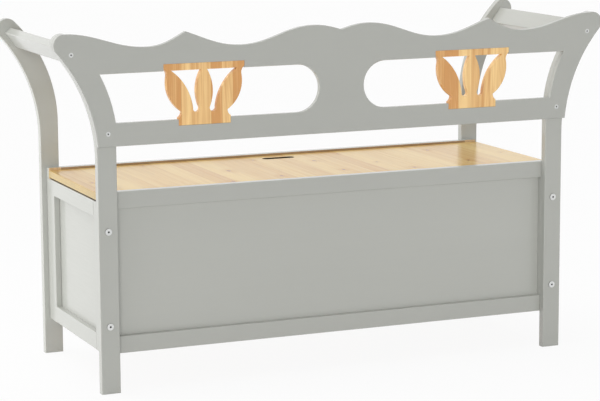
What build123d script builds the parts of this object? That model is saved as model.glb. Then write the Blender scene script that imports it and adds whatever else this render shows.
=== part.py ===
"""Storage bench: a frame-and-panel box on four curled posts, with a hinged lid and a cut-out backrest.

Millimetres. +Z is up, the front faces -Y, and +X is on the right seen from the front.
The origin is on the floor, at the centre of the bench's overall depth and width.
"""
from build123d import *
import os
from math import atan2, cos, hypot, pi, sin, sqrt

# Overall
BENCH_WIDTH = 1105.0        # over the straight legs
CLEAR_DEPTH = 397.0         # between the front and the rear posts
EDGE = 1.6                  # eased edges of the painted boards

# Posts: a straight leg, a bend of two arcs and a round curled end
POST_WIDTH = 42.0
POST_THICKNESS = 18.0
CURL_REACH = 70.0           # curl centre, outside the leg's outer edge
CURL_HEIGHT = 746.0         # curl centre, above the floor
CURL_RADIUS = 23.0
OUTER_BEND = 350.0
INNER_BEND = 322.0

# Backrest board
BOARD_THICKNESS = 12.0
BOARD_BOTTOM = 531.0
SLOT_BOTTOM = 580.0
SLOT_TOP = 683.0
BRIDGE_WIDTH = 105.0
NOTCH_HEIGHT = 754.5
NOTCH_SLOPE = 18.0          # degrees
HUMP_PLACE = 64.0
HUMP_HEIGHT = 766.5
INNER_DIP_PLACE = 231.0
INNER_DIP_HEIGHT = 731.5
CUSP_PLACE = 358.0
CUSP_HEIGHT = 765.0
CUSP_INNER_SLOPE = 18.0     # degrees
CUSP_OUTER_SLOPE = 29.0     # degrees
OUTER_DIP_PLACE = 444.0
OUTER_DIP_HEIGHT = 736.0

# Splats let into the backrest board, flush with it, from their centre line and their own lower edge
SPLAT_PLACE = 317.0
SPLAT_PLAY = 0.15           # round a splat's bar and base in their notches
SPLAT_EDGE = 0.8
SPLAT_BASE_LAP = 13.0       # notch below the slot
SPLAT_TOP_LAP = 15.0        # notch above the slot
SPLAT_TOP_WIDTH = 182.0
SPLAT_NECK_WIDTH = 168.0
SPLAT_WAIST_WIDTH = 103.5
SPLAT_BASE_WIDTH = 117.5
SPLAT_BAR = 14.5            # height of the top bar over the openings
SPLAT_END_BAR = 11.0        # height of the top bar's ends
SPLAT_NECK = 28.0           # neck, below the top edge
SPLAT_WAIST = 29.0          # waist, above the lower edge
SPLAT_BASE = 16.5           # height of the base's ends
BULGE_WIDTH = 154.0         # at a point on the round side
BULGE_HEIGHT = 56.5
OPENING_FOOT = 27.0         # lowest point of an opening
OPENING_SHOULDER = 36.0     # where its round foot begins
STEM_TOP_WIDTH = 13.0
STEM_WIDTH = 37.5           # widest part of the middle stem
STEM_HEIGHT = 76.0          # height of that widest part
STEM_FOOT_WIDTH = 23.0
LEAF_FOOT_WIDTH = 52.0      # between the outer edges of the two openings, at their foot
LEAF_WIDTH = 77.0           # the same, halfway up
LEAF_TOP_WIDTH = 148.0      # the same, at the top

# Armrests
ARM_THICKNESS = 18.0
ARM_WIDTH = 44.0
ARM_INSET = 14.5            # section centre, inside the curl's centre
ARM_DROP = 20.0             # section centre, below the curl's centre
ARM_TILT = 38.0             # degrees, outwards from upright
ARM_DOWEL_OFFSET = 13.0     # dowel, along the section from the screw

# Box of four frames
FRAME_THICKNESS = 18.0
PANEL_THICKNESS = 5.0
REBATE = 8.0                # how far a panel laps its frame
PANEL_PLAY = 0.3
BOX_BOTTOM = 82.0
BOX_TOP = 430.5             # front and back frames
END_TOP = 406.5             # end frames
LOW_RAIL = 37.0
HIGH_RAIL = 37.0
END_HIGH_RAIL = 35.0
CORNER_STILE = 30.0         # stiles of the front and back frames
END_STILE = 36.0            # stiles of the end frames

# Floor of the box
FLOOR_THICKNESS = 8.0
FLOOR_PLAY = 1.0
CLEAT = 18.0
CLEAT_RISE = 8.0            # above the lower edge of the box

# Lid
LID_THICKNESS = 16.0
LID_OVERHANG = 1.0          # past the end frames
LID_FRONT_GAP = 2.5
LID_EDGE = 2.0
FINGER_LENGTH = 80.0
FINGER_WIDTH = 22.0
FINGER_INSET = 44.0         # slot centre, from the lid's front edge
BATTEN_WIDTH = 42.0
BATTEN_THICKNESS = 14.0
BATTEN_LENGTH = 940.0
BATTEN_SPACING = 190.0
BUMPER_DIAMETER = 12.0
BUMPER_HEIGHT = 3.0
BUMPER_SPACING = 240.0
BUMPER_PLAY = 0.2

# Hinges
HINGE_LENGTH = 70.0
HINGE_SPACING = 680.0
LEAF_THICKNESS = 1.0
LEAF_HEIGHT = 13.0
PIN_DIAMETER = 2.4
PIN_PLAY = 0.05             # radial
PIN_HEAD = 0.8
KNUCKLE_WALL = 0.9
KNUCKLE_COUNT = 5
KNUCKLE_GAP = 0.4
HINGE_SIDE_GAP = 0.35       # between a knuckle and the wood beside it

# Fasteners
BOLT_DIAMETER = 6.0
BOLT_PLAY = 0.25            # radial
BOLT_HEAD_DIAMETER = 15.0
BOLT_HEAD_HEIGHT = 2.4
BOLT_SOCKET = 4.0           # across flats
BOLT_UPPER = 349.5
BOLT_LOWER = 146.0
BOLT_GRIP = 27.0            # bolt length inside an end frame's stile
NUT_DIAMETER = 10.0
NUT_LENGTH = 13.0
NUT_DEPTH = 19.0            # nut axis, inside an end frame's stile
DOWEL_DIAMETER = 6.0
DOWEL_LENGTH = 30.0
DOWEL_SPREAD = 17.0
FIT = 0.05                  # radial room round dowels and screws
SOCKET_DEPTH = 1.3          # of a hexagon socket, times its size across flats
SCREW_DIAMETER = 5.0
SCREW_HEAD_DIAMETER = 10.0
SCREW_SOCKET = 3.0          # across flats
SCREW_BITE = 40.0           # length in an armrest's end
BOARD_SCREW_BITE = 15.0     # length in a post
BOARD_SCREW_RISE = 27.0     # above the backrest board's lower edge
SMALL_SCREW_DIAMETER = 3.0
SMALL_HEAD_DIAMETER = 6.0
SMALL_SOCKET = 1.6          # across flats
SMALL_SCREW_LENGTH = 20.0
CLEAT_SCREW_LENGTH = 28.0
LEAF_SCREW_DIAMETER = 2.6
LEAF_HEAD_DIAMETER = 4.4
LEAF_SCREW_LENGTH = 12.0
LEAF_SCREW_COUNT = 3
SPLAT_SCREW_SPACING = 80.0  # screws up through the board into a splat's base
SPLAT_SCREW_BITE = 14.0
CLEAT_SCREW_COUNT = 5
END_CLEAT_SCREW_COUNT = 2
BATTEN_SCREW_COUNT = 5
SCREW_MARGIN = 40.0         # end distance of the screws in cleats and battens

# Planes that the pieces meet on
half_width = BENCH_WIDTH / 2
post_centre = half_width - POST_WIDTH / 2
rear_reach = POST_THICKNESS + BOARD_THICKNESS
front_reach = POST_THICKNESS + BOLT_HEAD_HEIGHT
middle_y = (front_reach - rear_reach) / 2
rear_inner = middle_y + CLEAR_DEPTH / 2
front_inner = middle_y - CLEAR_DEPTH / 2
rear_outer = rear_inner + POST_THICKNESS
front_outer = front_inner - POST_THICKNESS
back_inner = rear_inner - FRAME_THICKNESS
fore_inner = front_inner + FRAME_THICKNESS
end_outer = post_centre + FRAME_THICKNESS / 2
end_inner = post_centre - FRAME_THICKNESS / 2
lid_bottom = END_TOP + BUMPER_HEIGHT + BUMPER_PLAY
lid_top = lid_bottom + LID_THICKNESS
knuckle_radius = PIN_DIAMETER / 2 + PIN_PLAY + KNUCKLE_WALL
hinge_y = back_inner - HINGE_SIDE_GAP - knuckle_radius
hinge_z = lid_top
lid_rear = hinge_y - knuckle_radius - HINGE_SIDE_GAP
lid_front = fore_inner + LID_FRONT_GAP
arm_x = half_width + CURL_REACH - ARM_INSET
arm_z = CURL_HEIGHT - ARM_DROP
splat_bottom = SLOT_BOTTOM - SPLAT_BASE_LAP
splat_height = SLOT_TOP + SPLAT_TOP_LAP - splat_bottom
floor_bottom = BOX_BOTTOM + CLEAT_RISE + CLEAT
bolt_heights = (BOLT_UPPER, BOLT_LOWER)
sides = {"left": -1, "right": 1}
pieces = {}


def block(x, y, z):
    """A box from its low and high limits along each axis."""
    spans = [high - low for low, high in (x, y, z)]
    middle = [(low + high) / 2 for low, high in (x, y, z)]
    return Pos(*middle) * Box(*spans)


def eased(shape, axis, radius=EDGE):
    """The shape with its edges along one axis rounded."""
    return fillet(shape.edges().filter_by(axis), radius)


def rod(start, direction, radius, length):
    """A round bar from a start point along a direction."""
    bar = Cylinder(radius, length, align=(Align.CENTER, Align.CENTER, Align.MIN))
    return Plane(origin=start, z_dir=direction) * bar


def plate(face, y_low, thickness):
    """An upright board: a face drawn in X and Z, given a thickness along Y."""
    return extrude(Plane.XZ.offset(-y_low) * face, amount=thickness, dir=(0, 1, 0))


def eased_plate(face, y_low, thickness, radius=EDGE):
    """An upright board with its front and rear outlines rounded."""
    board = plate(face, y_low, thickness)
    rims = board.faces().filter_by(Axis.Y)
    return fillet(rims.edges(), radius)


def on_circle(centre, radius, angle):
    """A point on a circle, by its angle in radians."""
    return (centre[0] + radius * cos(angle), centre[1] + radius * sin(angle))


def spread(count, span):
    """Evenly spaced places, centred on zero."""
    return [span * (i / (count - 1) - 0.5) for i in range(count)]


def hexagon(across_flats):
    """A hexagon by its size across the flats."""
    return RegularPolygon(across_flats / 2, 6, major_radius=False)


def group(shapes):
    """Separate solids kept in one node."""
    return Compound([shape.solid() for shape in shapes])


def countersunk(start, direction, head, shank, length, room=0.0):
    """A flat-headed screw, or the hole for one, from its head's face along a direction."""
    head_radius = head / 2 + room
    shank_radius = shank / 2 + room
    depth = head_radius - shank_radius
    cone = Cone(head_radius, shank_radius, depth, align=(Align.CENTER, Align.CENTER, Align.MIN))
    bar = Pos(0, 0, depth) * Cylinder(shank_radius, length - depth, align=(Align.CENTER, Align.CENTER, Align.MIN))
    return Plane(origin=start, z_dir=direction) * (cone + bar)


def screw(start, direction, head, shank, length, socket):
    """A flat-headed screw with a hexagon socket."""
    key = Plane(origin=start, z_dir=direction) * extrude(hexagon(socket), amount=socket * SOCKET_DEPTH)
    return countersunk(start, direction, head, shank, length) - key


def curl_geometry():
    """Centres and meeting points of the arcs that shape a right-hand post."""
    curl = (half_width + CURL_REACH, CURL_HEIGHT)
    outer_x = half_width + OUTER_BEND
    inner_x = half_width - POST_WIDTH + INNER_BEND
    outer_drop = sqrt((OUTER_BEND + CURL_RADIUS) ** 2 - (outer_x - curl[0]) ** 2)
    inner_drop = sqrt((INNER_BEND - CURL_RADIUS) ** 2 - (inner_x - curl[0]) ** 2)
    outer = (outer_x, CURL_HEIGHT - outer_drop)
    inner = (inner_x, CURL_HEIGHT - inner_drop)
    outer_angle = atan2(outer[1] - curl[1], outer[0] - curl[0])
    inner_angle = atan2(curl[1] - inner[1], curl[0] - inner[0])
    return curl, outer, inner, outer_angle, inner_angle


def outer_edge():
    """The post's outer edge, from the floor up to the curl, as a line and an arc."""
    curl, outer, inner, outer_angle, inner_angle = curl_geometry()
    bend = outer_angle + pi
    start = (half_width, outer[1])
    return [Line((half_width, 0), start),
            ThreePointArc(start, on_circle(outer, OUTER_BEND, (pi + bend) / 2), on_circle(outer, OUTER_BEND, bend))]


def post_face():
    """Outline of a right-hand post."""
    curl, outer, inner, outer_angle, inner_angle = curl_geometry()
    low = on_circle(curl, CURL_RADIUS, outer_angle)
    high = on_circle(curl, CURL_RADIUS, inner_angle)
    tip = on_circle(curl, CURL_RADIUS, (outer_angle + inner_angle) / 2)
    inner_x = half_width - POST_WIDTH
    inner_middle = on_circle(inner, INNER_BEND, (pi + inner_angle) / 2)
    edges = outer_edge()
    edges.append(ThreePointArc(low, tip, high))
    edges.append(ThreePointArc(high, inner_middle, (inner_x, inner[1])))
    edges.append(Line((inner_x, inner[1]), (inner_x, 0)))
    edges.append(Line((inner_x, 0), (half_width, 0)))
    return make_face(edges)


def slope(degrees):
    """A tangent that runs inwards and rises by an angle."""
    return (-cos(degrees * pi / 180), sin(degrees * pi / 180))


def backrest_face():
    """Outline of the backrest board with its two slots."""
    curl, outer, inner, outer_angle, inner_angle = curl_geometry()
    level = slope(0)
    low = on_circle(curl, CURL_RADIUS, outer_angle)
    tip = on_circle(curl, CURL_RADIUS, (outer_angle + pi / 2) / 2)
    top = on_circle(curl, CURL_RADIUS, pi / 2)
    outer_dip = (OUTER_DIP_PLACE, OUTER_DIP_HEIGHT)
    cusp = (CUSP_PLACE, CUSP_HEIGHT)
    inner_dip = (INNER_DIP_PLACE, INNER_DIP_HEIGHT)
    hump = (HUMP_PLACE, HUMP_HEIGHT)
    notch = (0, NOTCH_HEIGHT)
    edges = outer_edge()
    edges.append(ThreePointArc(low, tip, top))
    edges.append(Spline(top, outer_dip, tangents=[level, level]))
    edges.append(Spline(outer_dip, cusp, tangents=[level, slope(CUSP_OUTER_SLOPE)]))
    edges.append(Spline(cusp, inner_dip, tangents=[slope(-CUSP_INNER_SLOPE), level]))
    edges.append(Spline(inner_dip, hump, tangents=[level, level]))
    edges.append(Spline(hump, notch, tangents=[level, slope(-NOTCH_SLOPE)]))
    edges += [mirror(edge, about=Plane.YZ) for edge in edges]
    edges.append(Line((half_width, 0), (-half_width, 0)))
    whole = make_face(edges)
    below = Pos(0, BOARD_BOTTOM / 2) * Rectangle(2 * BENCH_WIDTH, BOARD_BOTTOM)
    end_radius = (SLOT_TOP - SLOT_BOTTOM) / 2
    slot_start = BRIDGE_WIDTH / 2 + end_radius
    slot_height = SLOT_BOTTOM + end_radius
    length = half_width - slot_start
    straight = Pos(slot_start + length / 2, slot_height) * Rectangle(length, 2 * end_radius)
    slot = straight + Pos(slot_start, slot_height) * Circle(end_radius) - post_face()
    return whole - below - slot - mirror(slot, about=Plane.YZ)


def splat_face():
    """Outline of a tulip-shaped splat, centred on X and standing on Z = 0."""
    half_top = SPLAT_TOP_WIDTH / 2
    half_base = SPLAT_BASE_WIDTH / 2
    neck = (SPLAT_NECK_WIDTH / 2, splat_height - SPLAT_NECK)
    bar_end = (half_top, splat_height - SPLAT_END_BAR)
    waist = (SPLAT_WAIST_WIDTH / 2, SPLAT_WAIST)
    base = (half_base, SPLAT_BASE)
    waist_middle = ((2 * waist[0] + base[0]) / 3, (waist[1] + 2 * base[1]) / 3)
    bulge = ThreePointArc(waist, (BULGE_WIDTH / 2, BULGE_HEIGHT), neck)
    edges = [Line((0, splat_height), (half_top, splat_height)),
             Line((half_top, splat_height), bar_end),
             TangentArc(neck, bar_end, tangent=bulge % 1),
             bulge,
             ThreePointArc(waist, waist_middle, base),
             Line(base, (half_base, 0)),
             Line((half_base, 0), (0, 0))]
    edges += [mirror(edge, about=Plane.YZ) for edge in edges]
    opening_top = splat_height - SPLAT_BAR
    stem_top = (STEM_TOP_WIDTH / 2, opening_top)
    stem_foot = (STEM_FOOT_WIDTH / 2, OPENING_SHOULDER)
    leaf_foot = (LEAF_FOOT_WIDTH / 2, OPENING_SHOULDER)
    leaf_top = (LEAF_TOP_WIDTH / 2, opening_top)
    halfway = (OPENING_SHOULDER + opening_top) / 2
    foot = ((stem_foot[0] + leaf_foot[0]) / 2, OPENING_FOOT)
    opening = make_face([ThreePointArc(stem_top, (STEM_WIDTH / 2, STEM_HEIGHT), stem_foot),
                         ThreePointArc(stem_foot, foot, leaf_foot),
                         ThreePointArc(leaf_foot, (LEAF_WIDTH / 2, halfway), leaf_top),
                         Line(leaf_top, stem_top)])
    return make_face(edges) - opening - mirror(opening, about=Plane.YZ)


def frame(names, place, length, top, stile, high_rail, bolts):
    """A frame of two rails and two stiles round a panel, dowelled at its corners.

    It is drawn with its outer face on Y = 0, facing +Y, and then set in its place.
    Names give the rails' prefix and the stiles at the low and the high end of its length.
    """
    prefix, low_stile, high_stile = names
    half = length / 2
    opening = half - stile
    depth = (-FRAME_THICKNESS, 0)
    low_opening = BOX_BOTTOM + LOW_RAIL
    high_opening = top - high_rail
    panel_depth = (-FRAME_THICKNESS, PANEL_THICKNESS - FRAME_THICKNESS)
    reach = opening + REBATE
    panel = block((-reach, reach), panel_depth, (low_opening - REBATE, high_opening + REBATE))
    room = reach + PANEL_PLAY
    rebate = block((-room, room), (panel_depth[0], panel_depth[1] + PANEL_PLAY),
                   (low_opening - REBATE - PANEL_PLAY, high_opening + REBATE + PANEL_PLAY))
    bottom_rail = eased(block((-opening, opening), depth, (BOX_BOTTOM, low_opening)), Axis.X) - rebate
    top_rail = eased(block((-opening, opening), depth, (high_opening, top)), Axis.X) - rebate
    stiles = {low_stile: block((-half, -opening), depth, (BOX_BOTTOM, top)),
              high_stile: block((opening, half), depth, (BOX_BOTTOM, top))}
    stiles = {name: eased(shape, Axis.Z) - rebate for name, shape in stiles.items()}
    dowels = []
    for end in (-opening, opening):
        for height in ((BOX_BOTTOM + low_opening) / 2, (high_opening + top) / 2):
            for step in spread(2, DOWEL_SPREAD):
                start = (end - DOWEL_LENGTH / 2, -FRAME_THICKNESS / 2, height + step)
                dowels.append(rod(start, (1, 0, 0), DOWEL_DIAMETER / 2, DOWEL_LENGTH))
                hole = rod(start, (1, 0, 0), DOWEL_DIAMETER / 2 + FIT, DOWEL_LENGTH)
                bottom_rail -= hole
                top_rail -= hole
                stiles = {name: shape - hole for name, shape in stiles.items()}
    made = {prefix + "_top_rail": top_rail, prefix + "_bottom_rail": bottom_rail, prefix + "_panel": panel}
    made.update(stiles)
    for name, shape in made.items():
        pieces[name] = place * shape
    for name in stiles:
        for hole in bolts:
            pieces[name] -= hole
    return [place * dowel for dowel in dowels]


def bolt_set():
    """Bolts through the posts and corner stiles into barrel nuts, with the holes for both."""
    bolts, nuts, holes = [], [], []
    nut_radius = NUT_DIAMETER / 2
    for side in sides.values():
        for outer, inner, inward in ((rear_outer, back_inner, -1), (front_outer, fore_inner, 1)):
            for height in bolt_heights:
                seat = (side * post_centre, outer, height)
                length = abs(outer - inner) + BOLT_GRIP
                head = fillet(Cylinder(BOLT_HEAD_DIAMETER / 2, BOLT_HEAD_HEIGHT,
                                       align=(Align.CENTER, Align.CENTER, Align.MAX)).edges().group_by(Axis.Z)[0],
                              BOLT_HEAD_HEIGHT / 2)
                shank = Cylinder(BOLT_DIAMETER / 2, length, align=(Align.CENTER, Align.CENTER, Align.MIN))
                key = extrude(hexagon(BOLT_SOCKET), amount=BOLT_SOCKET * SOCKET_DEPTH)
                bolt = head + shank - Pos(0, 0, -BOLT_HEAD_HEIGHT) * key
                bolts.append(Plane(origin=seat, z_dir=(0, inward, 0)) * bolt)
                hole_length = length + BOLT_PLAY
                holes.append(rod(seat, (0, inward, 0), BOLT_DIAMETER / 2 + BOLT_PLAY, hole_length))
                nut_y = inner + inward * NUT_DEPTH
                nut_start = (side * end_inner, nut_y, height)
                bore = rod(seat, (0, inward, 0), BOLT_DIAMETER / 2 + FIT, hole_length)
                nuts.append(rod(nut_start, (side, 0, 0), nut_radius, NUT_LENGTH) - bore)
                holes.append(rod(nut_start, (side, 0, 0), nut_radius + FIT, NUT_LENGTH))
    return bolts, nuts, holes


def hinge(name, centre):
    """One butt hinge: a leaf on the back frame, a leaf on the lid, and its pin. Returns the screws and holes."""
    start = centre - HINGE_LENGTH / 2
    pitch = HINGE_LENGTH / KNUCKLE_COUNT
    plate_top = hinge_z - knuckle_radius - KNUCKLE_GAP
    plate_bottom = hinge_z - LEAF_HEIGHT
    bore = rod((start, hinge_y, hinge_z), (1, 0, 0), PIN_DIAMETER / 2 + PIN_PLAY, HINGE_LENGTH)
    made = []
    for first, y in ((0, (back_inner - LEAF_THICKNESS, back_inner)), (1, (lid_rear, lid_rear + LEAF_THICKNESS))):
        leaf = block((start, start + HINGE_LENGTH), y, (plate_bottom, plate_top))
        for i in range(first, KNUCKLE_COUNT, 2):
            low = start + i * pitch + KNUCKLE_GAP / 2
            high = start + (i + 1) * pitch - KNUCKLE_GAP / 2
            leaf += block((low, high), y, (plate_bottom, hinge_z))
            leaf += rod((low, hinge_y, hinge_z), (1, 0, 0), knuckle_radius, high - low)
        made.append(leaf - bore)
    frame_leaf, lid_leaf = made
    screws, holes = {"frame": [], "lid": []}, {"frame": [], "lid": []}
    screw_z = (plate_bottom + plate_top) / 2
    seats = {"frame": (back_inner - LEAF_THICKNESS, 1), "lid": (lid_rear + LEAF_THICKNESS, -1)}
    for part, (y, direction) in seats.items():
        for step in spread(LEAF_SCREW_COUNT, HINGE_LENGTH - 2 * pitch):
            head = ((centre + step, y, screw_z), (0, direction, 0), LEAF_HEAD_DIAMETER, LEAF_SCREW_DIAMETER)
            screws[part].append(screw(*head, LEAF_SCREW_LENGTH, SMALL_SOCKET))
            holes[part].append(countersunk(*head, LEAF_SCREW_LENGTH, FIT))
    for hole in holes["frame"]:
        frame_leaf -= hole
    for hole in holes["lid"]:
        lid_leaf -= hole
    pieces[name + "_hinge_frame_leaf"] = frame_leaf
    pieces[name + "_hinge_lid_leaf"] = lid_leaf
    pin = rod((start, hinge_y, hinge_z), (1, 0, 0), PIN_DIAMETER / 2, HINGE_LENGTH)
    head_radius = PIN_DIAMETER / 2 + PIN_PLAY + KNUCKLE_WALL / 2
    pin += rod((start + KNUCKLE_GAP / 2 - PIN_HEAD, hinge_y, hinge_z), (1, 0, 0), head_radius, PIN_HEAD)
    pin += rod((start + HINGE_LENGTH - KNUCKLE_GAP / 2, hinge_y, hinge_z), (1, 0, 0), head_radius, PIN_HEAD)
    pieces[name + "_hinge_pin"] = pin
    return screws, holes


def make_posts(bolt_holes):
    """Four posts, bored for the bolts."""
    face = post_face()
    for row, y_low in (("rear", rear_inner), ("front", front_outer)):
        right = eased_plate(face, y_low, POST_THICKNESS)
        for side, sign in sides.items():
            post = right if sign > 0 else mirror(right, about=Plane.YZ)
            for hole in bolt_holes:
                post -= hole
            pieces[f"{row}_{side}_post"] = post


def make_backrest():
    """The backrest board, its screws into the posts and armrests, and the two splats in its notches."""
    rear_face = rear_outer + BOARD_THICKNESS
    depth = (rear_outer, rear_face)
    board = eased_plate(backrest_face(), rear_outer, BOARD_THICKNESS)
    splat = plate(splat_face(), rear_outer, BOARD_THICKNESS)
    for face in (0, -1):
        splat = fillet(splat.faces().sort_by(Axis.Y)[face].edges(), SPLAT_EDGE)
    splat = Pos(SPLAT_PLACE, 0, splat_bottom) * splat
    half_bar = SPLAT_TOP_WIDTH / 2 + SPLAT_PLAY
    half_base = SPLAT_BASE_WIDTH / 2 + SPLAT_PLAY
    notches = [block((-half_bar, half_bar), depth, (SLOT_TOP - EDGE, splat_bottom + splat_height + SPLAT_PLAY)),
               block((-half_base, half_base), depth, (splat_bottom - SPLAT_PLAY, SLOT_BOTTOM + EDGE))]
    board_screws, splat_screws = [], []
    post_length = BOARD_THICKNESS + BOARD_SCREW_BITE
    arm_length = BOARD_THICKNESS + POST_THICKNESS + SCREW_BITE
    screw_seats = ((post_centre, BOARD_BOTTOM + BOARD_SCREW_RISE, post_length), (arm_x, arm_z, arm_length))
    splats = {side: splat if sign > 0 else mirror(splat, about=Plane.YZ) for side, sign in sides.items()}
    splat_length = splat_bottom - BOARD_BOTTOM + SPLAT_SCREW_BITE
    for side, sign in sides.items():
        for x, z, length in screw_seats:
            seat = ((sign * x, rear_face, z), (0, -1, 0), SCREW_HEAD_DIAMETER, SCREW_DIAMETER, length)
            board_screws.append(screw(*seat, SCREW_SOCKET))
            hole = countersunk(*seat, FIT)
            board -= hole
            for name in (f"rear_{side}_post", f"{side}_armrest"):
                pieces[name] -= hole
        for notch in notches:
            board -= Pos(sign * SPLAT_PLACE, 0, 0) * notch
        for step in spread(2, SPLAT_SCREW_SPACING):
            seat = ((sign * SPLAT_PLACE + step, (rear_outer + rear_face) / 2, BOARD_BOTTOM), (0, 0, 1),
                    SMALL_HEAD_DIAMETER, SMALL_SCREW_DIAMETER, splat_length)
            splat_screws.append(screw(*seat, SMALL_SOCKET))
            hole = countersunk(*seat, FIT)
            board -= hole
            splats[side] -= hole
        pieces[f"{side}_splat"] = splats[side]
    pieces["backrest_board"] = board
    pieces["backrest_screws"] = group(board_screws)
    pieces["splat_screws"] = group(splat_screws)


def make_armrests():
    """Tilted armrests between the posts, with a front screw and a dowel at each end."""
    dowels, screws = [], []
    length = POST_THICKNESS + SCREW_BITE
    tilt = ARM_TILT * pi / 180
    for side, sign in sides.items():
        bar = eased(Box(ARM_THICKNESS, CLEAR_DEPTH, ARM_WIDTH), Axis.Y)
        arm = Pos(sign * arm_x, middle_y, arm_z) * Rot(0, sign * ARM_TILT, 0) * bar
        seat = ((sign * arm_x, front_outer, arm_z), (0, 1, 0), SCREW_HEAD_DIAMETER, SCREW_DIAMETER, length)
        screws.append(screw(*seat, SCREW_SOCKET))
        hole = countersunk(*seat, FIT)
        arm -= hole
        pieces[f"front_{side}_post"] -= hole
        dowel_x = sign * (arm_x - ARM_DOWEL_OFFSET * sin(tilt))
        dowel_z = arm_z - ARM_DOWEL_OFFSET * cos(tilt)
        for row, face in (("rear", rear_inner), ("front", front_inner)):
            start = (dowel_x, face - DOWEL_LENGTH / 2, dowel_z)
            dowels.append(rod(start, (0, 1, 0), DOWEL_DIAMETER / 2, DOWEL_LENGTH))
            hole = rod(start, (0, 1, 0), DOWEL_DIAMETER / 2 + FIT, DOWEL_LENGTH)
            arm -= hole
            pieces[f"{row}_{side}_post"] -= hole
        pieces[f"{side}_armrest"] = arm
    pieces["armrest_dowels"] = group(dowels)
    pieces["armrest_screws"] = group(screws)


def make_box(bolt_holes):
    """The front, back and end frames."""
    long_side = 2 * end_outer
    short_side = back_inner - fore_inner
    back_place = Pos(0, rear_inner, 0)
    front_place = Pos(0, front_inner, 0) * Rot(0, 0, 180)
    right_place = Pos(end_outer, middle_y, 0) * Rot(0, 0, -90)
    left_place = Pos(-end_outer, middle_y, 0) * Rot(0, 0, 90)
    back_names = ("back", "back_left_stile", "back_right_stile")
    front_names = ("front", "front_right_stile", "front_left_stile")
    right_names = ("right_end", "right_end_rear_stile", "right_end_front_stile")
    left_names = ("left_end", "left_end_front_stile", "left_end_rear_stile")
    long_frame = (long_side, BOX_TOP, CORNER_STILE, HIGH_RAIL, bolt_holes)
    end_frame = (short_side, END_TOP, END_STILE, END_HIGH_RAIL, bolt_holes)
    dowels = frame(back_names, back_place, *long_frame)
    dowels += frame(front_names, front_place, *long_frame)
    dowels += frame(right_names, right_place, *end_frame)
    dowels += frame(left_names, left_place, *end_frame)
    pieces["frame_dowels"] = group(dowels)


def make_floor():
    """The floor board of the box on cleats along all four frames."""
    cleat_z = (floor_bottom - CLEAT, floor_bottom)
    inside_x = end_inner - FLOOR_PLAY
    floor = block((-inside_x, inside_x), (fore_inner + FLOOR_PLAY, back_inner - FLOOR_PLAY),
                  (floor_bottom, floor_bottom + FLOOR_THICKNESS))
    end_y = (fore_inner + CLEAT + FLOOR_PLAY, back_inner - CLEAT - FLOOR_PLAY)
    cleats = {"front": block((-inside_x, inside_x), (fore_inner, fore_inner + CLEAT), cleat_z),
              "rear": block((-inside_x, inside_x), (back_inner - CLEAT, back_inner), cleat_z),
              "left": block((-end_inner, CLEAT - end_inner), end_y, cleat_z),
              "right": block((end_inner - CLEAT, end_inner), end_y, cleat_z)}
    long_places = spread(CLEAT_SCREW_COUNT, 2 * (inside_x - SCREW_MARGIN))
    end_places = [middle_y + step for step in spread(END_CLEAT_SCREW_COUNT, end_y[1] - end_y[0] - 2 * SCREW_MARGIN)]
    screw_z = floor_bottom - CLEAT / 2
    fore_y = fore_inner + CLEAT
    back_y = back_inner - CLEAT
    side_x = end_inner - CLEAT
    cleat_seats = {"front": [((x, fore_y, screw_z), (0, -1, 0)) for x in long_places],
                   "rear": [((x, back_y, screw_z), (0, 1, 0)) for x in long_places],
                   "left": [((-side_x, y, screw_z), (-1, 0, 0)) for y in end_places],
                   "right": [((side_x, y, screw_z), (1, 0, 0)) for y in end_places]}
    rails = {"front": "front_bottom_rail", "rear": "back_bottom_rail",
             "left": "left_end_bottom_rail", "right": "right_end_bottom_rail"}
    small = (SMALL_HEAD_DIAMETER, SMALL_SCREW_DIAMETER)
    cleat_screws, floor_screws = [], []
    for name, seats in cleat_seats.items():
        for seat, direction in seats:
            cleat_screws.append(screw(seat, direction, *small, CLEAT_SCREW_LENGTH, SMALL_SOCKET))
            hole = countersunk(seat, direction, *small, CLEAT_SCREW_LENGTH, FIT)
            cleats[name] -= hole
            pieces[rails[name]] -= hole
    shift = CLEAT
    for name, y in (("front", fore_inner + CLEAT / 2), ("rear", back_inner - CLEAT / 2)):
        for x in long_places:
            seat = ((x + shift, y, floor_bottom + FLOOR_THICKNESS), (0, 0, -1), *small, SMALL_SCREW_LENGTH)
            floor_screws.append(screw(*seat, SMALL_SOCKET))
            hole = countersunk(*seat, FIT)
            cleats[name] -= hole
            floor -= hole
    pieces["floor_board"] = floor
    for name, cleat in cleats.items():
        pieces[name + "_cleat"] = cleat
    pieces["cleat_screws"] = group(cleat_screws)
    pieces["floor_screws"] = group(floor_screws)


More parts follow.
